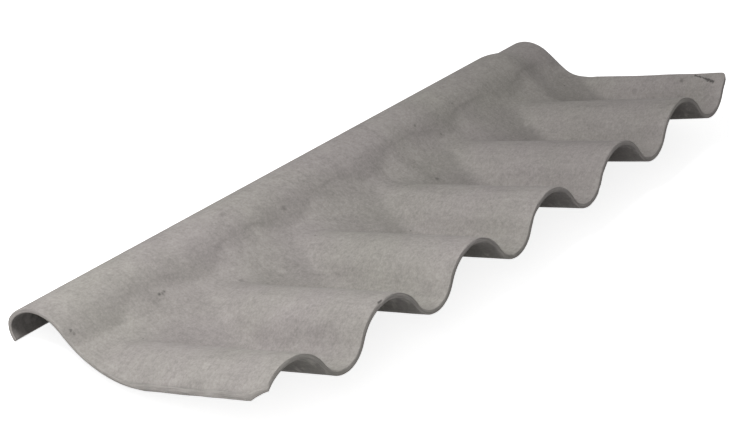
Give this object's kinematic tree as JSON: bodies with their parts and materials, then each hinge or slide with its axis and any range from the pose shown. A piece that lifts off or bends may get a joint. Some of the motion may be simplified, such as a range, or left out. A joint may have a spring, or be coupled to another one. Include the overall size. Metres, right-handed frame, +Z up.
{
  "type": "roof ridge cap",
  "caption": "One wing of a two-piece fibre-cement ridge cap: a corrugated wing that laps over wavy roof sheets and rises into a half-round roll with a spigot end.",
  "frame": {"origin": "middle of the footprint, on the floor that the cap lies on", "axes": "+X along the ridge towards the spigot end, +Y towards the roll, +Z up; the cap lies on its roll's lip and on the bellies of its troughs, so the wing rises towards -Y"},
  "size_m": [1.0876, 0.4128, 0.1121],
  "materials": {
    "fibre_cement": "matte, uncoated grey fibre cement"
  },
  "bodies": {
    "root": {"ridge_cap": "fibre_cement"}
  },
  "joints": []
}
